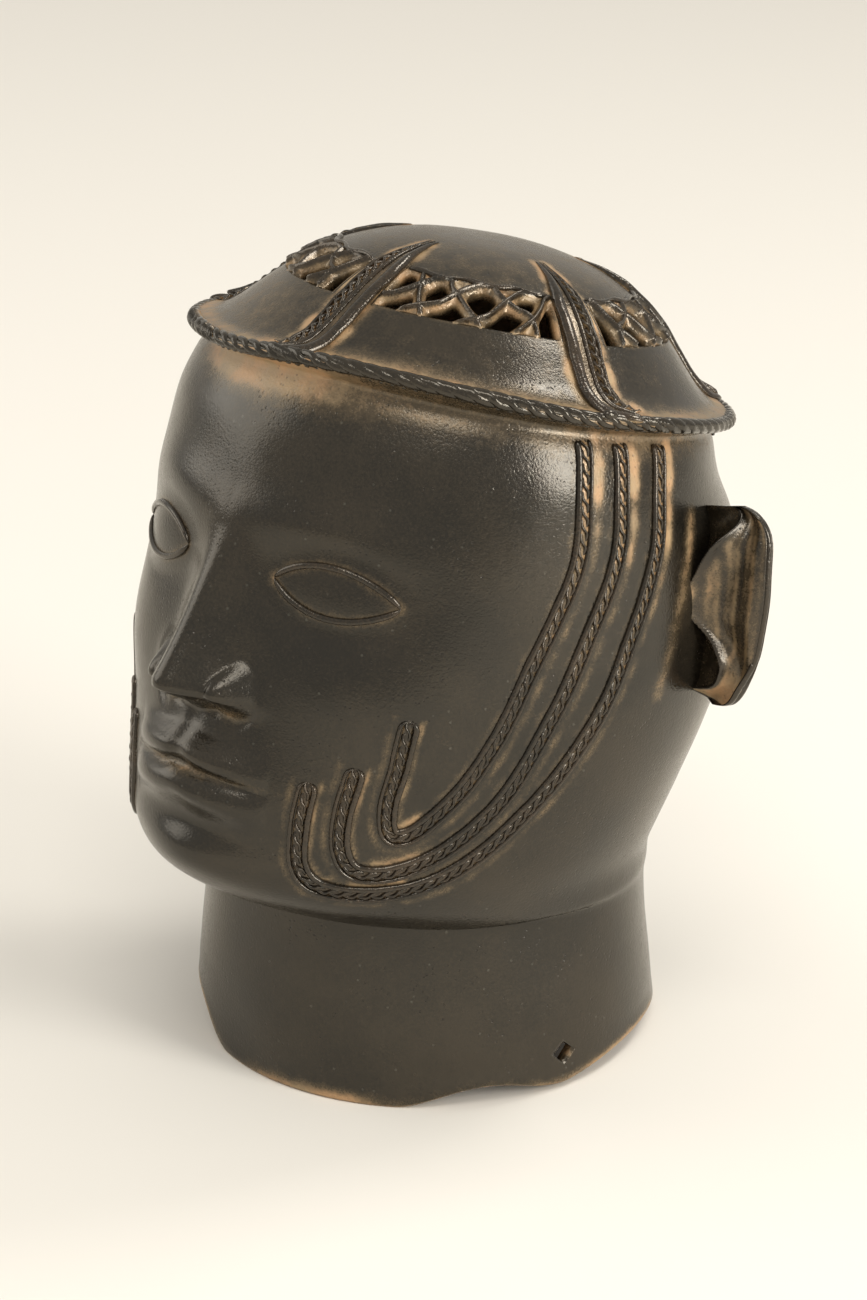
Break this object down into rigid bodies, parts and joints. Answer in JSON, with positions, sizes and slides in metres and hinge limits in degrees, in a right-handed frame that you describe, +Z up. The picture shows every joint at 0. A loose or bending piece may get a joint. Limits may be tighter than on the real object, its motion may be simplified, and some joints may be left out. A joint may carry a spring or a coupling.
{
  "type": "cast bronze head",
  "caption": "Hollow cast bronze head with raised cord bands on the cheeks, cupped ears and a flat openwork cap, standing on the open rim of its neck.",
  "frame": {"origin": "on the ground under the middle of the whole casting", "axes": "+Z up the neck, the face looks along -Y, the wearer's left ear is at +X"},
  "size_m": [0.1828, 0.1795, 0.2205],
  "materials": {
    "bronze": "dark brown bronze patina, satin, with ochre casting earth left in the creases"
  },
  "bodies": {
    "root": {"bronze_head": "bronze"}
  },
  "joints": []
}
